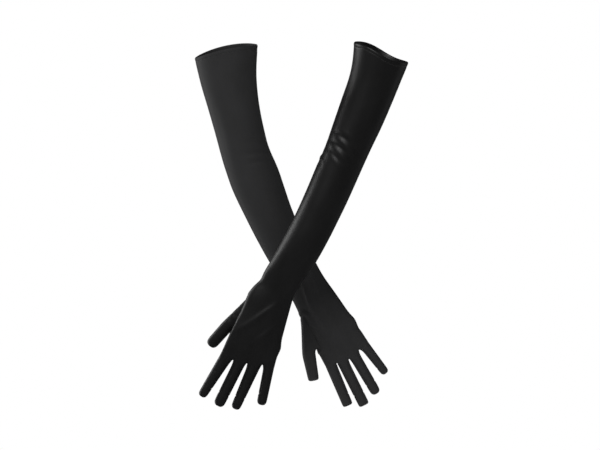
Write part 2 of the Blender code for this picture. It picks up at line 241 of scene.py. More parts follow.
class Limb:
    """The skin of one glove from the rim to the knuckles, as measured: s is the distance from the rim."""

    def __init__(self, side):
        self.side = side
        self.palm = round(JOINTS[f"{side}_elbow_bend"]["axis"][1])
        self.dorsal = -self.palm * AWAY
        rim = np.array(MOUNTS[f"{side}_arm_opening"]["pos_m"], float)
        self.plane = rim[1]
        elbow = np.array(JOINTS[f"{side}_elbow_bend"]["pos_m"], float)
        wrist = np.array(JOINTS[f"{side}_wrist_bend"]["pos_m"], float)
        knuckles = np.mean([JOINTS[f"{side}_{f}_bend"]["pos_m"] for f in ("middle", "ring")], axis=0)
        knuckles[1] = self.plane
        corners = np.array([rim, elbow, wrist, knuckles])
        turns = np.concatenate([[0], np.cumsum(np.linalg.norm(np.diff(corners, axis=0), axis=1))])
        _, self.elbow, self.wrist, self.knuckles = turns
        self.parting = (self.elbow + ELBOW_REACH + self.wrist) / 2
        self.places = np.arange(-RUN_ON, self.knuckles + RUN_ON, SAMPLE_STEP)
        spine = np.array([run_on(self.places, turns, corners[:, i]) for i in range(3)])
        self.spine = np.array([smoothed(row, SAMPLE_STEP, SPINE_SMOOTHING) for row in spine]).T
        self.along = unit(np.gradient(self.spine, axis=0))
        self.across = np.cross(self.along, AWAY)
        self.measure([f"{side}_upper_sleeve", f"{side}_forearm_sleeve", f"{side}_hand"])
        self.rim_line = self.measure_rim(f"{side}_upper_sleeve")

    def measure(self, nodes):
        """The skin's edges and faces, from cuts square to the spine. A side that a cut misses is run on."""
        shape = mesh_arrays(nodes)
        found = {key: [] for key in ("outer", "inner", "near", "far")}
        for s, centre, along, across in zip(self.places, self.spine, self.along, self.across):
            cut = section(shape, centre, along)
            if len(cut) < COLUMNS:
                continue
            sideways = (cut - centre) @ across
            depth = cut[:, 1] - self.plane
            middle = (sideways.max() + sideways.min()) / 2
            for key, value, other in (
                ("outer", sideways, depth),
                ("inner", -sideways, depth),
                ("near", -depth, sideways - middle),
                ("far", depth, sideways - middle),
            ):
                best = value.argmax()
                if abs(other[best]) < BESIDE:
                    found[key].append((s, value[best]))
        reach = {}
        for key, rows in found.items():
            known, values = np.array(rows[ROUNDED_SAMPLES:]).T
            spread = SMOOTHING if key in ("outer", "inner") else DEPTH_SMOOTHING
            reach[key] = smoothed(run_on(self.places, known, values), SAMPLE_STEP, spread)
        self.half_width = (reach["outer"] + reach["inner"]) / 2
        self.half_depth = (reach["near"] + reach["far"]) / 2
        shift = (reach["outer"] - reach["inner"]) / 2
        self.middle = self.spine + self.across * shift[:, None]
        self.middle[:, 1] = self.plane + (reach["far"] - reach["near"]) / 2

    def measure_rim(self, node):
        """The line through the rim's two sides: its place along the limb is level + tilt * across."""
        points, _ = mesh_arrays([node])
        start = np.argmin(np.abs(self.places))
        from_rim = points - self.middle[start]
        along, across = from_rim @ self.along[start], from_rim @ self.across[start]
        depth = points[:, 1] - self.plane
        ends = []
        for value in (-across, across):
            beside = np.flatnonzero((np.abs(depth) < RIM_BESIDE) & (value > 0) & (along < 3 * HEM_DEPTH))
            top = beside[along[beside].argmin()]
            ends.append((across[top], along[top]))
        (left, first), (right, last) = ends
        tilt = (last - first) / (right - left)
        return first - tilt * left, tilt

    def read(self, table, s):
        s = np.asarray(s, float)
        if table.ndim == 1:
            return np.interp(s, self.places, table)
        return np.stack([np.interp(s, self.places, column) for column in table.T], axis=-1)

    def point(self, s, angle, inset=0.0, swell=1.0):
        """A place on the skin. Angles go from the thumb side to the back of the hand."""
        share = smooth_step((s - self.wrist) / (self.knuckles - self.wrist))
        power = 2 / (LIMB_SQUARENESS + (HAND_SQUARENESS - LIMB_SQUARENESS) * share)
        c, d = math.cos(angle), math.sin(angle)
        width = (self.read(self.half_width, s) - inset) * swell
        depth = (self.read(self.half_depth, s) - inset) * swell
        sideways = -width * math.copysign(abs(c) ** power, c)
        outward = depth * math.copysign(abs(d) ** power, d)
        return self.read(self.middle, s) + self.read(self.across, s) * sideways + self.dorsal * outward

    def rim_at(self, angle):
        """Where the rim is along the limb on this side."""
        rim = RIMS[self.side]
        level, tilt = self.rim_line
        across = -math.cos(angle)
        depth = self.read(self.half_depth, 0.0) * math.sin(angle) * self.dorsal[1]
        place = level + tilt * across * self.read(self.half_width, 0.0) + rim.slope * depth
        return place - rim.arch * (1 - across**2) + rim.wave * math.sin(math.pi * across)

    def coordinates(self, points):
        """(s, angle) of any points near the skin."""
        start, _ = nearest(points, self.middle)
        s = self.places[start] + ((points - self.middle[start]) * self.along[start]).sum(axis=1)
        from_middle = points - self.read(self.middle, s)
        sideways = -(from_middle * self.read(self.across, s)).sum(axis=1) / self.read(self.half_width, s)
        outward = (from_middle @ self.dorsal) / self.read(self.half_depth, s)
        return s, np.arctan2(outward, sideways)


class Digit:
    """A finger or thumb as measured: s is the distance from its mouth."""

    def __init__(self, limb, name):
        side = limb.side
        hinge = JOINTS[f"{side}_{name}_bend"]
        self.body = f"{side}_{name}"
        self.pivot = np.array(hinge["pos_m"], float)
        along = np.cross(AWAY, np.array(hinge["axis"]) * limb.palm)
        shape = mesh_arrays(BODIES[self.body])
        length = ((shape[0] - self.pivot) @ along).max()
        across = np.cross(along, AWAY)
        rows = []
        for share in DIGIT_CUTS:
            cut = section(shape, self.pivot + along * share * length, along) - self.pivot
            sideways, depth = cut @ across, cut[:, 1]
            right, left, far, near = sideways.max(), sideways.min(), depth.max(), depth.min()
            centre = along * share * length + across * (right + left) / 2 + AWAY * (far + near) / 2
            rows.append((self.pivot + centre, (right - left) / 2, (far - near) / 2))
        (first, self.first_width, self.first_depth), (last, last_width, last_depth) = rows
        self.along = unit(last - first)
        self.across = unit(np.cross(self.along, AWAY))
        self.dorsal = np.cross(self.across, self.along) * -limb.palm
        self.first = (first - self.pivot) @ self.along
        self.mouth = first - self.along * self.first
        gap = np.linalg.norm(last - first)
        self.slopes = (last_width - self.first_width) / gap, (last_depth - self.first_depth) / gap
        self.length = ((shape[0] - self.mouth) @ self.along).max()

    def sizes(self, s):
        width, depth = self.slopes
        return self.first_width + width * (s - self.first), self.first_depth + depth * (s - self.first)

    def point(self, s, angle, swell=1.0):
        width, depth = self.sizes(s)
        c, d = math.cos(angle), math.sin(angle)
        return self.mouth + self.along * s - self.across * width * c * swell + self.dorsal * depth * d * swell

    def coordinates(self, points):
        from_mouth = points - self.mouth
        s = from_mouth @ self.along
        width, depth = self.sizes(s)
        return s, np.arctan2(from_mouth @ self.dorsal / depth, -(from_mouth @ self.across) / width)


def linked(name, data):
    """A new object in the scene."""
    obj = bpy.data.objects.new(name, data)
    bpy.context.scene.collection.objects.link(obj)
    return obj


def turn_outwards(mesh):
    """Drops loose vertices and turns every face outwards."""
    shape = bmesh.new()
    shape.from_mesh(mesh)
    bmesh.ops.delete(shape, geom=[v for v in shape.verts if not v.link_faces], context="VERTS")
    bmesh.ops.recalc_face_normals(shape, faces=shape.faces)
    shape.to_mesh(mesh)
    shape.free()


# The cage

# A ring of the cage is larger than the round that it's subdivided to
RING_SWELL, DIGIT_SWELL = (6 / (4 + 2 * math.cos(2 * math.pi / n)) for n in (COLUMNS, DIGIT_COLUMNS))
BACK_RING = tuple(math.radians(a) for a in (45, 90, 135, 180, 225, 270, 315, 0))
THUMB_RING = tuple(math.radians(a) for a in (0, 45, 90, 135, 180, 225, 270, 315))
THUMB_COLUMNS = (COLUMNS - 2, COLUMNS - 1, 0)
FOURCHETTE_STRIPS = {"outer": (2, 3), "inner": (6, 7)}
HEM_ROWS = (
    (HEM_DEPTH, HEM_THICKNESS),
    (HEM_DEPTH * 0.5, HEM_THICKNESS),
    (1.3 * MM, HEM_THICKNESS),
    (-0.2 * MM, HEM_THICKNESS * 0.5),
    (1.3 * MM, 0),
    (HEM_DEPTH * 0.5, -0.2 * MM),
    (HEM_DEPTH * 0.8, 0),
    (HEM_DEPTH * 1.2, 0),
)

# How a digit ends: for each ring the distance from the tip in half widths, and the share of the girth
ROUND_TIP = ((0.95, 0.99), (0.5, 0.93), (0.14, 0.68), (0.0, 0.32))
BLUNT_TIP = ((0.8, 1.0), (0.3, 0.99), (0.05, 0.84), (0.0, 0.4))
BLUNT_DIGITS = ("right_thumb", "right_index", "right_middle")


class Cage:
    """Points and faces of one glove, each face with the name of the piece it belongs to."""

    def __init__(self, limb, digits):
        self.limb, self.digits = limb, digits
        self.points, self.faces, self.names = [], [], []
        last = self.limb_rows()
        self.finger_stalls(last)
        self.thumb_stall()

    def add(self, points):
        self.points += [np.asarray(p, float) for p in points]
        return list(range(len(self.points) - len(points), len(self.points)))

    def strip(self, ring, following, names):
        for j, name in enumerate(names):
            k = (j + 1) % len(ring)
            self.faces.append((ring[j], following[j], following[k], ring[k]))
            self.names.append(name)

    def web(self, k):
        """The middle of the web after finger k, and half its depth."""
        before, after = self.digits[FINGERS[k - 1]], self.digits[FINGERS[k]]
        middle = (before.point(0, math.pi) + after.point(0, 0.0)) / 2
        return middle, (before.first_depth + after.first_depth) / 2

    def knuckle_ring(self):
        """The cage's last ring, which the fingers grow from: its corners are webs and finger middles."""
        dorsal = self.limb.dorsal
        first, last = self.digits["index"], self.digits["little"]
        webs = [(first.point(0, 0.0), first.first_depth)]
        webs += [self.web(k) for k in (1, 2, 3)]
        webs += [(last.point(0, math.pi), last.first_depth)]
        back, front = [], []
        for k, (middle, depth) in enumerate(webs):
            back.append(middle + dorsal * depth * WEB_DEPTH)
            front.append(middle - dorsal * depth * WEB_DEPTH)
            if k < len(FINGERS):
                digit = self.digits[FINGERS[k]]
                back.append(digit.mouth + dorsal * digit.first_depth * KNUCKLE_DEPTH)
                front.append(digit.mouth - dorsal * digit.first_depth * KNUCKLE_DEPTH)
        ring = [webs[0][0], *back, webs[-1][0], *reversed(front)]
        self.inner_webs = [middle for middle, _ in webs[1:-1]]
        return ring

    def limb_rows(self):
        limb = self.limb
        angles = full_turn(COLUMNS)
        rows = []
        for s, inset in HEM_ROWS:
            rows.append([limb.point(limb.rim_at(a) + s, a, inset, RING_SWELL) for a in angles])
        hem_end = HEM_ROWS[-1][0]
        stops = np.concatenate([
            np.linspace(hem_end, limb.elbow - ELBOW_REACH, ROWS_ABOVE_ELBOW + 1)[1:],
            np.linspace(limb.elbow - ELBOW_REACH, limb.elbow + ELBOW_REACH, ROWS_AT_ELBOW + 1)[1:],
            np.linspace(limb.elbow + ELBOW_REACH, limb.wrist, ROWS_BELOW_ELBOW + 1)[1:],
        ])
        for s in stops:
            level = smooth_step((s - hem_end) / (limb.elbow - ELBOW_REACH - hem_end))
            rows.append([limb.point(s + limb.rim_at(a) * (1 - level), a, 0, RING_SWELL) for a in angles])
        places = [hem_end] * len(HEM_ROWS) + list(stops)

        knuckles = self.knuckle_ring()
        ends, _ = limb.coordinates(np.array(knuckles))
        seam, _ = limb.coordinates(mesh_arrays([f"{limb.side}_thumb_seam"])[0])
        reach = ends[THUMB_COLUMNS[1]] - limb.wrist
        first, last = (seam.min() - limb.wrist) / reach, (seam.max() - limb.wrist) / reach
        last = min(last, THUMB_HOLE_LIMIT)
        shares = [*np.linspace(0, first, 3)[1:], (first + last) / 2, last, (1 + last) / 2, 1]
        self.thumb_row = len(rows) + 1
        for share in shares:
            row = []
            for a, knuckle, end in zip(angles, knuckles, ends):
                here = limb.point(limb.wrist + share * (end - limb.wrist), a, 0, RING_SWELL)
                there = knuckle + here - limb.point(end, a, 0, RING_SWELL)
                row.append(here + (there - here) * smooth_step(share))
            rows.append(row)
            places.append(limb.wrist + share * reach)
        self.rings = [self.add(row) for row in rows]
        for ring, following, place in zip(self.rings, self.rings[1:], places[1:]):
            name = "sleeve" if place < limb.parting else "hand"
            self.strip(ring, following, [name] * COLUMNS)
        hole = {self.rings[self.thumb_row + 1][THUMB_COLUMNS[1]]}
        kept = [i for i, face in enumerate(self.faces) if not hole & set(face)]
        self.faces = [self.faces[i] for i in kept]
        self.names = [self.names[i] for i in kept]
        return self.rings[-1]

    def digit_rings(self, digit, starts, angles, rows):
        """Rings from the places in starts to the rounded or blunt tip, and the tip's middle."""
        half = digit.sizes(digit.length)[0]
        tip = BLUNT_TIP if digit.body in BLUNT_DIGITS else ROUND_TIP
        straight_end = digit.length - half * tip[0][0]
        rings = []
        for share in np.linspace(0, 1, rows + 1):
            places = [start + share * (straight_end - start) for start in starts]
            rings.append([digit.point(s, a, DIGIT_SWELL) for s, a in zip(places, angles)])
        for left, girth in tip[1:]:
            rings.append([digit.point(digit.length - half * left, a, DIGIT_SWELL * girth) for a in angles])
        return rings, digit.mouth + digit.along * digit.length

    def close_tip(self, ring, middle, name):
        top = self.add([middle])[0]
        for j in range(len(ring)):
            self.faces.append((ring[j], top, ring[(j + 1) % len(ring)]))
            self.names.append(name)

    def finger_stalls(self, knuckles):
        webs = [knuckles[0], *self.add(self.inner_webs), knuckles[COLUMNS // 2]]
        back = knuckles[1 : COLUMNS // 2]
        front = list(reversed(knuckles[COLUMNS // 2 + 1 :]))
        for k, finger in enumerate(FINGERS):
            digit = self.digits[finger]
            i = 2 * k
            base = [*back[i : i + 3], webs[k + 1], *reversed(front[i : i + 3]), webs[k]]
            digit.base = [self.points[v] for v in base]
            slant = [(p - digit.mouth) @ digit.along for p in digit.base]
            starts = [FIRST_RING + s for s in slant]
            rings, middle = self.digit_rings(digit, starts, BACK_RING, FINGER_ROWS)
            names = [f"{finger}_finger"] * DIGIT_COLUMNS
            sided = names.copy()
            for edge, strips in FOURCHETTE_STRIPS.items():
                name = f"{finger}_fourchette_{edge}"
                if f"{self.limb.side}_{name}" in frame["nodes"]:
                    for strip in strips:
                        sided[strip] = name
            ring = base
            for row, points in enumerate(rings):
                following = self.add(points)
                self.strip(ring, following, sided if row < FINGER_ROWS else names)
                ring = following
            self.close_tip(ring, middle, names[0])

    def thumb_stall(self):
        digit = self.digits["thumb"]
        first, second, third = (self.rings[self.thumb_row + i] for i in range(3))
        front, middle, back = THUMB_COLUMNS
        base = [
            first[middle], first[back], second[back], third[back],
            third[middle], third[front], second[front], first[front],
        ]
        digit.base = [self.points[v] for v in base]
        crotch = (self.points[third[middle]] - digit.mouth) @ digit.along
        rings, tip = self.digit_rings(digit, [crotch + FIRST_RING] * DIGIT_COLUMNS, THUMB_RING, THUMB_ROWS)
        halfway = [(b + p) / 2 for b, p in zip(digit.base, rings[0])]
        ring = base
        for points in (halfway, *rings):
            following = self.add(points)
            self.strip(ring, following, ["thumb"] * DIGIT_COLUMNS)
            ring = following
        self.close_tip(ring, tip, "thumb")

    def subdivided(self):
        """(points, quads, names) after the Subdivision Surface modifier."""
        labels = sorted(set(self.names))
        mesh = bpy.data.meshes.new("cage")
        mesh.from_pydata([tuple(p) for p in self.points], [], self.faces)
        mesh.polygons.foreach_set("material_index", [labels.index(n) for n in self.names])
        turn_outwards(mesh)
        obj = linked("cage", mesh)
        rounding = obj.modifiers.new("rounding", "SUBSURF")
        rounding.levels = rounding.render_levels = LEVELS
        fine = obj.evaluated_get(bpy.context.evaluated_depsgraph_get()).to_mesh()
        points = table_of(fine.vertices, "co", 3, np.float32).astype(float)
        quads = table_of(fine.loops, "vertex_index", 1, np.int32).reshape(-1, 4)
        index = table_of(fine.polygons, "material_index", 1, np.int32)[:, 0]
        bpy.data.objects.remove(obj)
        bpy.data.meshes.remove(mesh)
        return points, quads, np.array(labels)[index]


# The cloth's surface


def vertex_normals(points, quads):
    a, b, c, d = (points[quads[:, i]] for i in range(4))
    flat = np.cross(c - a, d - b)
    normals = np.zeros_like(points)
    for i in range(4):
        np.add.at(normals, quads[:, i], flat)
    return unit(normals)


def border_points(quads, names, piece):
    """The vertices where this piece meets another."""
    inside = np.unique(quads[names == piece])
    outside = np.unique(quads[names != piece])
    return np.intersect1d(inside, outside)


def turn(angles, middle):
    """Angles from the middle one, in degrees from -180 to 180."""
    return (np.degrees(angles) - middle + 180) % 360 - 180


@dataclass(frozen=True)
class Crease:
    """A fold across the skin, in mm from its landmark. Its middle and reach are in degrees, and it slants and
    bows by so many mm over 90 degrees. Depth is negative for a ridge."""

    at: float
    middle: float
    reach: float
    depth: float
    width: float
    slant: float = 0.0
    bow: float = 0.0

    def lift(self, s, angles):
        beside = turn(angles, self.middle)
        quarter = beside / 90
        line = (self.at + self.slant * quarter + self.bow * quarter**2) * MM
        x = (s - line) / (self.width * MM)
        profile = bell(x) - CREASE_SHOULDER * (bell(x - 2) + bell(x + 2))
        return -self.depth * MM * profile * window(beside, self.reach, 0.7)


@dataclass(frozen=True)
class Ridge:
    """A fold that runs along the skin from one place to another in mm, at an angle in degrees that drifts."""

    start: float
    end: float
    angle: float
    drift: float
    height: float
    width: float

    def lift(self, s, angles):
        half = (self.end - self.start) / 2 * MM
        middle = self.start * MM + half
        beside = turn(angles, self.angle + self.drift * (s - middle) / half)
        return self.height * MM * bell(beside / self.width) * window(s - middle, half, 0.8)


@dataclass(frozen=True)
class Bump:
    """A local swell, or a hollow where height is negative: in mm along the limb and degrees around it."""

    at: float
    angle: float
    length: float
    spread: float
    height: float

    def lift(self, s, angles):
        along = (s / MM - self.at) / self.length
        return self.height * MM * bell(along) * bell(turn(angles, self.angle) / self.spread)


ELBOW_CREASES = {
    "left": (
        Crease(-16, 76, 78, 0.8, 3.8, 18, 13),
        Crease(-1, 72, 82, 0.9, 3.8, 18, 13),
        Crease(11, 54, 66, 0.7, 3.6, 16, 12),
        Crease(26, 12, 40, -0.9, 3.4, 12, 8),
    ),
    "right": (
        Crease(-15, 230, 48, 0.6, 3.8, -14, 4),
        Crease(3, 236, 56, 0.9, 3.8, -14, 4),
        Crease(18, 238, 54, 0.8, 3.8, -14, 4),
    ),
}
LONG_RIDGES = {
    "left": (
        Ridge(10, 92, 78, -48, 2.0, 9),
        Ridge(40, 100, 112, -34, 1.4, 7),
    ),
    "right": (
        Ridge(-40, 26, 242, 12, 2.6, 5),
        Ridge(-26, 52, 284, 16, 3.0, 5),
        Ridge(-330, -170, 300, 4, 1.2, 14),
        Ridge(52, 96, 250, 40, 0.9, 7),
    ),
}
LOCAL_BUMPS = {
    "left": (
        Bump(-9, 2, 13, 42, 4.2),
        Bump(8, 2, 13, 42, 4.2),
        Bump(27, 0, 15, 40, 3.2),
        Bump(85, 176, 9, 24, 2.2),
    ),
    "right": (
        Bump(82, 190, 9, 24, 2.2),
        Bump(97, 200, 4, 20, -1.8),
    ),
}
DIGIT_CREASES = {
    "left_thumb": (
        Crease(-22, 90, 120, 0.55, 2.2, 4, 0),
        Crease(-15, 70, 120, 0.6, 2.0, -4, 0),
        Crease(-4, 95, 120, 0.35, 2.4, 3, 0),
    ),
    "right_thumb": (
        Crease(6, 270, 100, 0.35, 2.6, 3, 0),
        Crease(-14, 250, 90, 0.5, 2.8, 6, 2),
    ),
}
KNUCKLE_CREASES = (
    Crease(3, 270, 95, 0.5, 1.8, 0, 2.5),
    Crease(12, 270, 80, 0.28, 1.8, 0, -2),
    Crease(27, 270, 85, 0.3, 1.6, 0, 1.5),
    Crease(25, 90, 60, 0.18, 1.8, 0, -1.5),
)


def unevenness(limb, s, angles):
    """The slight swell and slack of cloth over a soft filling."""
    phase = 0.0 if limb.side == "left" else 1.7
    waves = np.sin(s / (31 * MM) + np.cos(angles) + phase)
    waves += 0.6 * np.sin(s / (17 * MM) - 1.5 * np.sin(angles + 0.4) + 2 * phase)
    waves += 0.4 * np.sin(s / (9 * MM) + 2 * np.sin(angles - 1.1) + 3 * phase)
    return UNEVEN * waves / 2


def limb_folds(limb, s, angles):
    """How far the folds and swells of the sleeve and hand lift the cloth."""
    height = unevenness(limb, s, angles)
    for crease in ELBOW_CREASES[limb.side]:
        height += crease.lift(s - limb.elbow, angles)
    for fold in LONG_RIDGES[limb.side] + LOCAL_BUMPS[limb.side]:
        height += fold.lift(s - limb.wrist, angles)
    start, end = SMOOTH_KNUCKLES
    height *= smooth_step((s - HEM_DEPTH) / SMOOTH_CUFF)
    return height * smooth_step((limb.knuckles + end - s) / (end - start))


def digit_folds(digits, points, owner):
    height = np.zeros(len(points))
    for name, digit in digits.items():
        mine = np.char.startswith(owner, name)
        s, angles = digit.coordinates(points)
        for crease in DIGIT_CREASES.get(digit.body, () if name == "thumb" else KNUCKLE_CREASES):
            height += crease.lift(s, angles) * mine
    return height


def hem_groove(limb, s, angles):
    """How far the line of hem stitches pulls in the cloth."""
    turns = np.linspace(-math.pi, math.pi, CUFF_COLUMNS + 1)
    depth = s - np.interp(angles, turns, [limb.rim_at(a) for a in turns])
    near_hem = smooth_step((HEM_DEPTH * 2 - s) / HEM_DEPTH)
    return SEAM_GROOVE * bell((depth - STITCH_DEPTH) / HEM_GROOVE_WIDTH) * near_hem


def thumb_seam_lift(away, angles, on_hand):
    """A groove along the thumb's seam, and on the palm a puff and a hollow beside it."""
    palmar = smooth_step(-np.sin(angles) / PALM_FADE) * on_hand
    puff = bell((away - PUFF_AT) / PUFF_WIDTH) - HOLLOW_SHARE * bell((away - HOLLOW_AT) / PUFF_WIDTH)
    return THUMB_PUFF * puff * palmar - THUMB_GROOVE * bell(away / THUMB_GROOVE_WIDTH)


def creased(limb, digits, points, quads, names):
    """The subdivided surface with its folds, creases and seam grooves."""
    normals = vertex_normals(points, quads)
    owner = np.full(len(points), "sleeve", dtype="<U32")
    for name in np.unique(names):
        owner[np.unique(quads[names == name])] = name
    s, angles = limb.coordinates(points)
    outside = (normals * (points - limb.read(limb.middle, s))).sum(axis=1) > 0
    height = limb_folds(limb, s, angles) - hem_groove(limb, s, angles) * outside
    height *= np.isin(owner, ("sleeve", "hand"))
    height += digit_folds(digits, points, owner)
    for name in np.unique(names):
        if name in ("sleeve", "hand"):
            continue
        marks = points[border_points(quads, names, name)]
        digit = digits[name.split("_")[0]]
        if "finger" in name:
            marks = marks[(marks - digit.mouth) @ digit.along > FIRST_RING * 2]
        if not len(marks):
            continue
        _, away = nearest(points, marks)
        if name == "thumb":
            height += thumb_seam_lift(away, angles, owner == "hand")
        else:
            height -= SEAM_GROOVE * bell(away / SEAM_WIDTH)
    return points + normals * height[:, None]


# Materials: shades are the darkest and lightest of a slightly patchy cloth

# The lining is black cloth made darker still than the satin: painted shade for the inside of the cuff
LINING_SHADES = (0.003,) * 3, (0.006,) * 3
ELASTIC_SHADES = (0.02,) * 3, (0.032,) * 3
THREAD_SHADES = (0.006,) * 3, (0.016,) * 3
# Dark and light shade, roughness and gloss. Both gloves are the same black satin: the right glove's much lighter
# shades are painted light, standing in for the brighter light that falls on it.
SATINS = {"left": (0.007, 0.012, 0.4, 0.4), "right": (0.028, 0.039, 0.6, 0.14)}
BLUISH = 1.04


def fill(tree, made, **sockets):
    """Gives each socket of a node a value, or a link to another node's output."""
    for name, value in sockets.items():
        socket = made.inputs[name.replace("_", " ")]
        if isinstance(value, bpy.types.NodeSocket):
            tree.links.new(value, socket)
        else:
            socket.default_value = value
    return made


def node(tree, kind, **sockets):
    return fill(tree, tree.nodes.new(kind), **sockets)


def noise(tree, vector, scale, detail, stretch=(1, 1, 1)):
    mapped = node(tree, "ShaderNodeMapping", Vector=vector, Scale=stretch).outputs["Vector"]
    return node(tree, "ShaderNodeTexNoise", Vector=mapped, Scale=scale, Detail=detail).outputs["Fac"]


def bump(tree, height, strength, distance, **under):
    made = node(tree, "ShaderNodeBump", Height=height, Strength=strength, Distance=distance, **under)
    return made.outputs["Normal"]


def ranged(tree, value, low, high):
    return node(tree, "ShaderNodeMapRange", Value=value, To_Min=low, To_Max=high).outputs["Result"]


def tinted(tree, value, dark, light):
    ramp = node(tree, "ShaderNodeValToRGB", Fac=value)
    ramp.color_ramp.elements[0].color = (*dark, 1)
    ramp.color_ramp.elements[1].color = (*light, 1)
    return ramp.outputs["Color"]


def new_material(name):
    material = bpy.data.materials.new(name)
    material.use_nodes = True
    tree = material.node_tree
    return material, tree, tree.nodes["Principled BSDF"]


def cloth_material(name, shades, roughness, sheen, streaks, knit=0.0, gloss=0.5):
    """Satin shows long fine floats along the glove, and jersey shows rows of loops. UV is in metres."""
    material, tree, shader = new_material(name)
    uv = node(tree, "ShaderNodeUVMap").outputs["UV"]
    floats = noise(tree, uv, 1.0, 2.0, (2400, 70, 1))
    patches = noise(tree, uv, 38.0, 3.0, (1, 0.5, 1))
    slack = noise(tree, uv, 90.0, 2.0, (1, 0.35, 1))
    colour = tinted(tree, patches, *shades)
    rough = ranged(tree, patches, roughness - 0.06, roughness + 0.06)
    normal = bump(tree, slack, 0.25, 0.6 * MM)
    normal = bump(tree, floats, streaks, 0.12 * MM, Normal=normal)
    if knit:
        rows = node(tree, "ShaderNodeTexWave", Vector=uv, Scale=knit, Distortion=1.5)
        rows.bands_direction = "Y"
        normal = bump(tree, rows.outputs["Fac"], 0.5, 0.25 * MM, Normal=normal)
    fill(tree, shader, Base_Color=colour, Roughness=rough, Normal=normal)
    fill(tree, shader, Sheen_Weight=sheen, Sheen_Roughness=0.4, Specular_IOR_Level=gloss)
    return material


def thread_material():
    material, tree, shader = new_material("black_thread")
    position = node(tree, "ShaderNodeTexCoord").outputs["Object"]
    fibres = noise(tree, position, 4000.0, 2.0)
    colour, rough = tinted(tree, fibres, *THREAD_SHADES), ranged(tree, fibres, 0.45, 0.65)
    normal = bump(tree, fibres, 0.4, 0.1 * MM)
    fill(tree, shader, Base_Color=colour, Roughness=rough, Normal=normal, Sheen_Weight=0.3)
    return material


# Pieces


def metre_map(part, points, radius):
    """A UV map in metres, and how wide it is around the part."""
    s, angles = part.coordinates(points)
    return np.stack([angles * radius, s], axis=1), 2 * math.pi * radius


def mesh_object(name, points, faces, normals, materials, face_slots, corner_uv):
    """A mesh with smooth shading, its own corner normals and a UV map in metres."""
    mesh = bpy.data.meshes.new(name)
    mesh.from_pydata([tuple(p) for p in points], [], [tuple(int(v) for v in f) for f in faces])
    for material in materials:
        mesh.materials.append(material)
    mesh.polygons.foreach_set("material_index", face_slots)
    uv = mesh.uv_layers.new(name="UVMap")
    uv.data.foreach_set("uv", np.asarray(corner_uv, np.float32).ravel())
    mesh.shade_smooth()
    mesh.normals_split_custom_set([tuple(n) for n in normals])
    mesh.update()
    return linked(name, mesh)


def shell(name, points, normals, quads, uv, period, materials):
    """A closed layer of cloth: these faces outside, the same faces one thickness in, and an edge between."""
    used, local = np.unique(quads, return_inverse=True)
    outer = local.reshape(-1, 4)
    count = len(used)
    inner = outer[:, ::-1] + count
    ends = np.concatenate([outer[:, [0, 1]], outer[:, [1, 2]], outer[:, [2, 3]], outer[:, [3, 0]]])
    keys = {tuple(e) for e in ends.tolist()}
    rims = np.array([(b, a, a + count, b + count) for a, b in ends.tolist() if (b, a) not in keys])
    faces = np.vstack([outer, inner, rims])
    spots = np.vstack([points[used], points[used] - normals[used] * CLOTH])
    rim_points = spots[rims]
    rim_normals = unit(np.cross(rim_points[:, 1] - rim_points[:, 0], rim_points[:, 3] - rim_points[:, 0]))
    corner_normals = np.vstack([
        normals[used][outer].reshape(-1, 3),
        -normals[used][outer[:, ::-1]].reshape(-1, 3),
        np.repeat(rim_normals, 4, axis=0),
    ])
    corner_uv = np.vstack([uv[used], uv[used]])[faces]
    corner_uv[..., 0] -= period * np.round((corner_uv[..., 0] - corner_uv[:, :1, 0]) / period)
    slots = [0] * len(outer) + [1] * len(inner) + [0] * len(rims)
    return mesh_object(name, spots, faces, corner_normals, materials, slots, corner_uv.reshape(-1, 2))


def declare(length):
    length *= 1 - STRETCH


def tube_faces(first, rows, sides, closed=False):
    """The faces of a tube whose rings of points start at this number. An open tube's ends are capped."""
    faces = []
    for i in range(rows if closed else rows - 1):
        ring, below = first + i * sides, first + (i + 1) % rows * sides
        for j in range(sides):
            k = (j + 1) % sides
            faces.append((ring + j, ring + k, below + k, below + j))
    if not closed:
        last = first + (rows - 1) * sides
        faces.append(tuple(reversed(range(first, first + sides))))
        faces.append(tuple(range(last, last + sides)))
    return faces


def seam_welt(name, path, normals, material, closed=False):
    """A raised seam along a path that lies on the cloth."""
    path, normals = np.asarray(path), np.asarray(normals)
    along = np.roll(path, -1, axis=0) - np.roll(path, 1, axis=0) if closed else np.gradient(path, axis=0)
    beside = unit(np.cross(along, normals))
    rings = []
    for a in full_turn(WELT_SIDES):
        rings.append(path + WELT_RADIUS * (beside * math.cos(a) + normals * math.sin(a) * WELT_FLATTENING))
    points = np.stack(rings, axis=1).reshape(-1, 3)
    return solid(name, points, tube_faces(0, len(path), WELT_SIDES, closed), material)


def solid(name, points, faces, material):
    """A small closed mesh, or several in one object, with its normals facing out."""
    mesh = bpy.data.meshes.new(name)
    mesh.from_pydata([tuple(p) for p in points], [], faces)
    mesh.materials.append(material)
    turn_outwards(mesh)
    mesh.shade_smooth()
    return linked(name, mesh)


def stitches(name, spots, directions, normals, material):
    """Short stitches that dip into the cloth at both ends, all in one object."""
    points, faces = [], []
    for spot, direction, normal in zip(spots, directions, normals):
        beside = np.cross(direction, normal)
        faces += tube_faces(len(points), len(STITCH_SHARES), STITCH_SIDES)
        for share in STITCH_SHARES:
            radius = THREAD_RADIUS * math.sqrt(max(1 - share**4, 0.02))
            middle = spot + direction * STITCH_LENGTH / 2 * share - normal * STITCH_DIP * share**4
            for a in full_turn(STITCH_SIDES):
                points.append(middle + radius * (beside * math.cos(a) + normal * math.sin(a)))
    return solid(name, points, faces, material)


def on_surface(tree, origin, direction):
    """Where a line from inside the glove meets its outer surface, and the normal there."""
    place, normal, _, _ = tree.ray_cast(Vector(origin), Vector(unit(direction)))
    return np.array(place), np.array(normal)


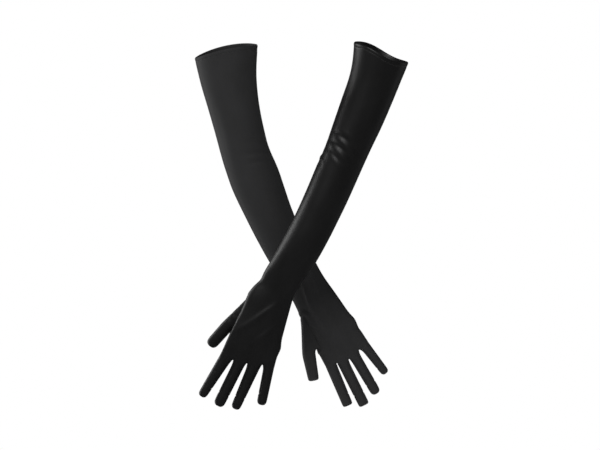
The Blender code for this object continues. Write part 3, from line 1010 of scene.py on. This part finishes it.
def ordered_loop(vertices, quads, points):
    """The closed line of edges through these vertices, in order."""
    members = set(vertices.tolist())
    joined = {v: set() for v in members}
    for i in range(4):
        for a, b in zip(quads[:, i].tolist(), quads[:, (i + 1) % 4].tolist()):
            if a in members and b in members:
                joined[a].add(b)
                joined[b].add(a)
    loop = [min(members)]
    while onward := sorted(joined[loop[-1]] - set(loop)):
        away = np.linalg.norm(points[onward] - points[loop[-1]], axis=1)
        loop.append(onward[away.argmin()])
    return loop


class Glove:
    """Makes every visible piece of one glove, and attaches its thumb seam, hem elastic and hem stitches."""

    def __init__(self, side, satin, satin_side, lining, elastic, thread):
        self.side = side
        self.satin, self.satin_side, self.lining = satin, satin_side, lining
        self.elastic, self.thread = elastic, thread
        self.limb = Limb(side)
        self.digits = {name: Digit(self.limb, name) for name in (*FINGERS, "thumb")}
        cage = Cage(self.limb, self.digits)
        points, self.quads, self.names = cage.subdivided()
        self.points = creased(self.limb, self.digits, points, self.quads, self.names)
        self.normals = vertex_normals(self.points, self.quads)
        self.tree = BVHTree.FromPolygons([Vector(p) for p in self.points], self.quads.tolist())
        self.sleeve_and_hand()
        for name in FINGERS:
            self.stall(self.digits[name], f"{name}_finger", [f"{name}_finger"])
            for edge in FOURCHETTE_STRIPS:
                piece = f"{name}_fourchette_{edge}"
                if f"{side}_{piece}" in frame["nodes"]:
                    self.stall(self.digits[name], piece, [piece])
        self.stall(self.digits["thumb"], "thumb", ["thumb", "thumb_base"])
        self.thumb_seam()
        self.cuff()

    def name(self, piece):
        return f"{self.side}_{piece}"

    def nodes(self, pieces):
        return [self.name(p) for p in pieces]

    def piece(self, piece, uv, period, material):
        mine = self.quads[self.names == piece]
        name = f"{self.name(piece)}_cloth"
        return shell(name, self.points, self.normals, mine, uv, period, (material, self.lining))

    def bend_span(self, place, reach):
        """The two ends of a bend's cloth, either side of a place along the limb."""
        limb = self.limb
        middle, along = limb.read(limb.middle, place), unit(limb.read(limb.along, place))
        return tuple(middle - along * reach), tuple(middle + along * reach)

    def sleeve_and_hand(self):
        side, limb = self.side, self.limb
        uv, period = metre_map(limb, self.points, LIMB_UV_RADIUS)
        sleeve = self.piece("sleeve", uv, period, self.satin)
        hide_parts(*self.nodes(["upper_sleeve", "forearm_sleeve"]))
        start, end = self.bend_span(limb.elbow, ELBOW_REACH)
        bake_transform(sleeve)
        declare(limb.parting)
        hand = self.piece("hand", uv, period, self.satin)
        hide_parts(self.name("hand"))
        start, end = self.bend_span(limb.wrist, WRIST_REACH)
        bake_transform(hand)
        declare(limb.knuckles - limb.parting)
        upper, lower = f"{side}_upper_arm", f"{side}_forearm"
        end = limb.knuckles - SIDE_SEAM_END
        spans = (
            ("side_seam_upper", HEM_DEPTH, limb.elbow, upper, lower, limb.elbow, ELBOW_REACH),
            ("side_seam_forearm", limb.elbow, limb.parting, upper, lower, limb.elbow, ELBOW_REACH),
            ("side_seam_hand", limb.parting, end, lower, f"{side}_palm", limb.wrist, WRIST_REACH),
        )
        for piece, first, last, before, after, bend, reach in spans:
            welt = self.side_welt(piece, first, last)
            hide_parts(self.name(piece))
            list(self.bend_span(bend, reach))
            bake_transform(welt)

    def side_welt(self, piece, first, last):
        """The long seam up the little-finger side, seen as a fine welt."""
        limb = self.limb
        spots = []
        for s in np.linspace(first, last, int((last - first) / WELT_STEP)):
            middle = limb.read(limb.middle, s)
            spots.append(on_surface(self.tree, middle, limb.read(limb.across, s)))
        path, normals = zip(*spots)
        return seam_welt(f"{self.name(piece)}_welt", path, normals, self.thread)

    def stall(self, digit, piece, nodes):
        uv, period = metre_map(digit, self.points, DIGIT_UV_RADIUS)
        material = self.satin_side if "fourchette" in piece else self.satin
        obj = self.piece(piece, uv, period, material)
        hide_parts(*self.nodes(nodes))
        start = max((p - digit.mouth) @ digit.along for p in digit.base) + DIGIT_BEND_START
        ends = (tuple(digit.mouth + digit.along * s) for s in (start, start + DIGIT_REACH))
        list(ends)
        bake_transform(obj)
        declare(digit.length)

    def thumb_seam(self):
        """The seam that joins the thumb to the hand."""
        border = border_points(self.quads, self.names, "thumb")
        loop = ordered_loop(border, self.quads, self.points)
        path, normals = self.points[loop], self.normals[loop]
        welt = seam_welt(self.name("thumb_seam_welt"), path, normals, self.thread, closed=True)
        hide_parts(self.name("thumb_seam"))
        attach(welt, f"{self.side}_palm")

    def cuff(self):
        """The elastic inside the hem, and the row of stitches that holds the hem."""
        limb = self.limb
        angles = full_turn(CUFF_COLUMNS)
        middle_inset = (HEM_THICKNESS + ELASTIC_THICKNESS) / 2
        points = []
        near, far = ELASTIC_EDGES
        insets = (middle_inset - ELASTIC_THICKNESS,) * 2 + (middle_inset,) * 2
        for s, inset in zip((near, far, far, near), insets):
            points += [limb.point(limb.rim_at(a) + s, a, inset) for a in angles]
        faces = tube_faces(0, 4, CUFF_COLUMNS, closed=True)
        elastic = solid(self.name("hem_elastic_tape"), points, faces, self.elastic)
        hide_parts(self.name("hem_elastic"))
        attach(elastic, f"{self.side}_upper_arm")

        girth = 2 * math.pi * (limb.half_width[0] + limb.half_depth[0]) / 2
        spots, directions, normals = [], [], []
        for angle in full_turn(int(girth / STITCH_PITCH)):
            s = limb.rim_at(angle) + STITCH_DEPTH
            outward = limb.point(s, angle) - limb.read(limb.middle, s)
            place, normal = on_surface(self.tree, limb.point(s, angle, HEM_THICKNESS / 4), outward)
            around = limb.point(s, angle + 0.05) - limb.point(s, angle - 0.05)
            around = unit(around - normal * (around @ normal))
            spots.append(place + normal * STITCH_LIFT)
            directions.append(around)
            normals.append(normal)
        row = stitches(self.name("hem_stitches"), spots, directions, normals, self.thread)
        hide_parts(self.name("hem_thread"))
        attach(row, f"{self.side}_upper_arm")


# Camera, light and stage

VIEW_WIDTH = 0.9
VIEW_MIDDLE = (0.11175, 0.0, -0.26175)
CAMERA_DISTANCE = 8.0
SENSOR = 36.0
FLOOR_HEIGHT = -0.70
FLOOR_REACH = 14.0
FLOOR_BACK = 1.8
STUDIO_GREY = 0.04
# Name, place from the middle of the view (right, away, up), width, height, energy
SOFTBOXES = (
    ("left_softbox", (-1.15, 0.5, 0.1), 0.6, 1.7, 9),
    ("right_softbox", (1.5, 0.7, 0.2), 0.3, 1.4, 0.5),
    ("key", (-0.6, -1.7, 2.0), 1.4, 1.4, 32),
)


def aim(obj, target):
    obj.rotation_euler = (Vector(target) - obj.location).to_track_quat("-Z", "Y").to_euler()


def camera():
    data = bpy.data.cameras.new("camera")
    data.sensor_width = SENSOR
    data.lens = SENSOR * CAMERA_DISTANCE / VIEW_WIDTH
    data.clip_end = 100
    obj = linked("camera", data)
    obj.location = Vector(VIEW_MIDDLE) - Vector((0, CAMERA_DISTANCE, 0))
    aim(obj, VIEW_MIDDLE)
    bpy.context.scene.camera = obj


def softbox(name, location, width, height, energy):
    data = bpy.data.lights.new(name, "AREA")
    data.shape = "RECTANGLE"
    data.size, data.size_y, data.energy = width, height, energy
    obj = linked(name, data)
    obj.location = location
    aim(obj, VIEW_MIDDLE)


def ground():
    """A pale floor that the camera sees and the cloth doesn't reflect."""
    material, tree, shader = new_material("pale_floor")
    fill(tree, shader, Base_Color=(0.85, 0.85, 0.85, 1), Roughness=0.9)
    fill(tree, shader, Emission_Color=(1, 1, 1, 1), Emission_Strength=0.55)
    x, wide, back, low = VIEW_MIDDLE[0], FLOOR_REACH, FLOOR_BACK, FLOOR_HEIGHT
    mesh = bpy.data.meshes.new("floor")
    corners = [(x - wide, -wide, low), (x + wide, -wide, low), (x + wide, back, low), (x - wide, back, low)]
    mesh.from_pydata(corners, [], [(0, 1, 2, 3)])
    mesh.materials.append(material)
    floor = linked("floor", mesh)
    floor.visible_glossy = False


def surroundings():
    """White where the camera looks past the floor, and a dim studio for everything else."""
    world = bpy.data.worlds.new("studio")
    bpy.context.scene.world = world
    world.use_nodes = True
    tree = world.node_tree
    dim = tree.nodes["Background"]
    dim.inputs["Color"].default_value = (STUDIO_GREY, STUDIO_GREY, STUDIO_GREY, 1)
    white = node(tree, "ShaderNodeBackground", Color=(1, 1, 1, 1))
    seen = node(tree, "ShaderNodeLightPath").outputs["Is Camera Ray"]
    mix = node(tree, "ShaderNodeMixShader", Fac=seen)
    tree.links.new(dim.outputs["Background"], mix.inputs[1])
    tree.links.new(white.outputs["Background"], mix.inputs[2])
    tree.links.new(mix.outputs["Shader"], tree.nodes["World Output"].inputs["Surface"])


def studio():
    x, _, z = VIEW_MIDDLE
    ground()
    for name, (right, away, up), width, height, energy in SOFTBOXES:
        softbox(name, (x + right, away, z + up), width, height, energy)
    surroundings()
    bpy.context.scene.view_settings.view_transform = "Standard"


def main():
    camera()
    studio()
    # The lining's extra darkness is painted shade for the inside of the cuff
    lining = cloth_material("black_jersey", LINING_SHADES, 0.8, 0.03, 0.1, knit=900, gloss=0.2)
    elastic = cloth_material("black_elastic", ELASTIC_SHADES, 0.75, 0.3, 0.1, knit=500)
    thread = thread_material()
    for side in SIDES:
        # The right glove's much lighter shades are painted light, not a different cloth
        dark, light, roughness, gloss = SATINS[side]
        shades = (dark,) * 3, (light, light, light * BLUISH)
        satin = cloth_material(f"{side}_black_satin", shades, roughness, 0.02, 0.35, gloss=gloss)
        side_satin = cloth_material(f"{side}_side_satin", shades, roughness + 0.04, 0.02, 0.3, gloss=gloss)
        Glove(side, satin, side_satin, lining, elastic, thread)


main()
